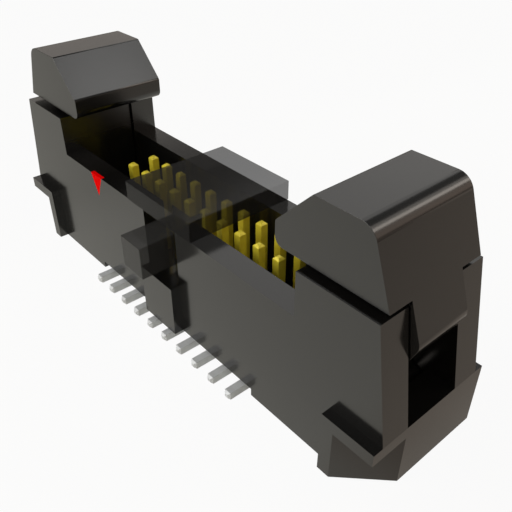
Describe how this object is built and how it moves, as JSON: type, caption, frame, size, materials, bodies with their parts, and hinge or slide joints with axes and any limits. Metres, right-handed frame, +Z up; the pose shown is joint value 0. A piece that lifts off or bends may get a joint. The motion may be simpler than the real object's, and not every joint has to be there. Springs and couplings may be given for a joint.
{
  "type": "shrouded box header with ejector latches",
  "caption": "Surface-mount shrouded pin header for a flat ribbon cable plug, with a key slot, hinged ejector latches at both ends and a removable pick-up pad.",
  "frame": {"origin": "on the board plane, below the middle of the contact field, at the undersides of the leads", "axes": "+Z up from the board, X along the header with contact one at -X, -Y out of the front wall with the key slot"},
  "size_m": [0.0272, 0.0081, 0.0116],
  "materials": {
    "black_moulding": "satin black moulded thermoplastic",
    "latch_moulding": "satin black moulded thermoplastic",
    "smoked_plastic": "clear smoked grey, polished",
    "red_mark": "printed red, level with the wall",
    "contact_metal": "gold plated in the cavity, tin plated at the lead"
  },
  "bodies": {
    "housing": {"housing": "black_moulding", "pick_and_place_pad": "smoked_plastic", "pin_one_mark": "red_mark", "front_contact_01": "contact_metal", "front_contact_02": "contact_metal", "front_contact_03": "contact_metal", "front_contact_04": "contact_metal", "front_contact_05": "contact_metal", "front_contact_06": "contact_metal", "front_contact_07": "contact_metal", "front_contact_08": "contact_metal", "front_contact_09": "contact_metal", "front_contact_10": "contact_metal", "back_contact_01": "contact_metal", "back_contact_02": "contact_metal", "back_contact_03": "contact_metal", "back_contact_04": "contact_metal", "back_contact_05": "contact_metal", "back_contact_06": "contact_metal", "back_contact_07": "contact_metal", "back_contact_08": "contact_metal", "back_contact_09": "contact_metal", "back_contact_10": "contact_metal"},
    "latch_left": {"latch_left": "latch_moulding"},
    "latch_right": {"latch_right": "latch_moulding"}
  },
  "joints": [
    {"name": "latch_right_hinge", "type": "hinge", "parent": "housing", "child": "latch_right", "pos_m": [0.0114, 0, 0.0027], "axis": [0, 1, 0], "range_deg": [0, 30]},
    {"name": "latch_left_hinge", "type": "hinge", "parent": "housing", "child": "latch_left", "pos_m": [-0.0114, 0, 0.0027], "axis": [0, -1, 0], "range_deg": [0, 30]}
  ]
}
